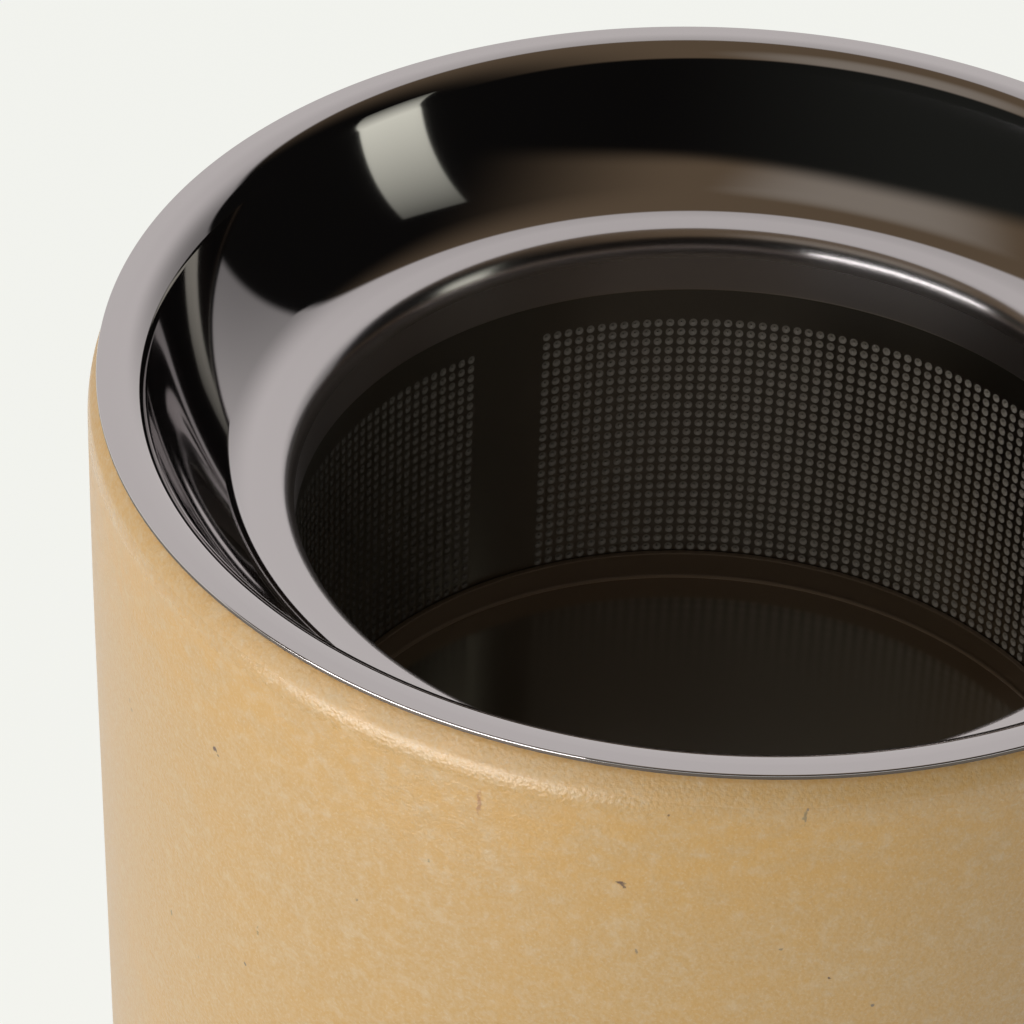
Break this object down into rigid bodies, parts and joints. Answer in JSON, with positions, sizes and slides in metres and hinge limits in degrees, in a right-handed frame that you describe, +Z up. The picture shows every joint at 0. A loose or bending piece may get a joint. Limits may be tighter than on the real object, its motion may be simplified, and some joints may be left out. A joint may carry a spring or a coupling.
{
  "type": "tea mug with lift-out infuser",
  "caption": "Cylindrical stoneware mug with a flanged steel infuser dish and a perforated basket that lifts straight out.",
  "frame": {"origin": "centre of the foot ring, on the surface that the mug stands on", "axes": "+Z up along the mug's axis; the weld strip of the basket lies 120.4 degrees from +X towards +Y"},
  "size_m": [0.0892, 0.0892, 0.09],
  "materials": {
    "stoneware": "satin pale ochre glaze with flecks",
    "polished_steel": "mirror-polished stainless steel",
    "perforated_steel": "smooth rolled stainless steel"
  },
  "bodies": {
    "mug": {"mug_body": "stoneware"},
    "infuser": {"infuser_collar": "polished_steel", "infuser_wall": "perforated_steel", "infuser_floor": "polished_steel"}
  },
  "joints": [
    {"name": "infuser_lift", "type": "slide", "parent": "mug", "child": "infuser", "axis": [0, 0, 1], "range_m": [0, 0.05]}
  ]
}
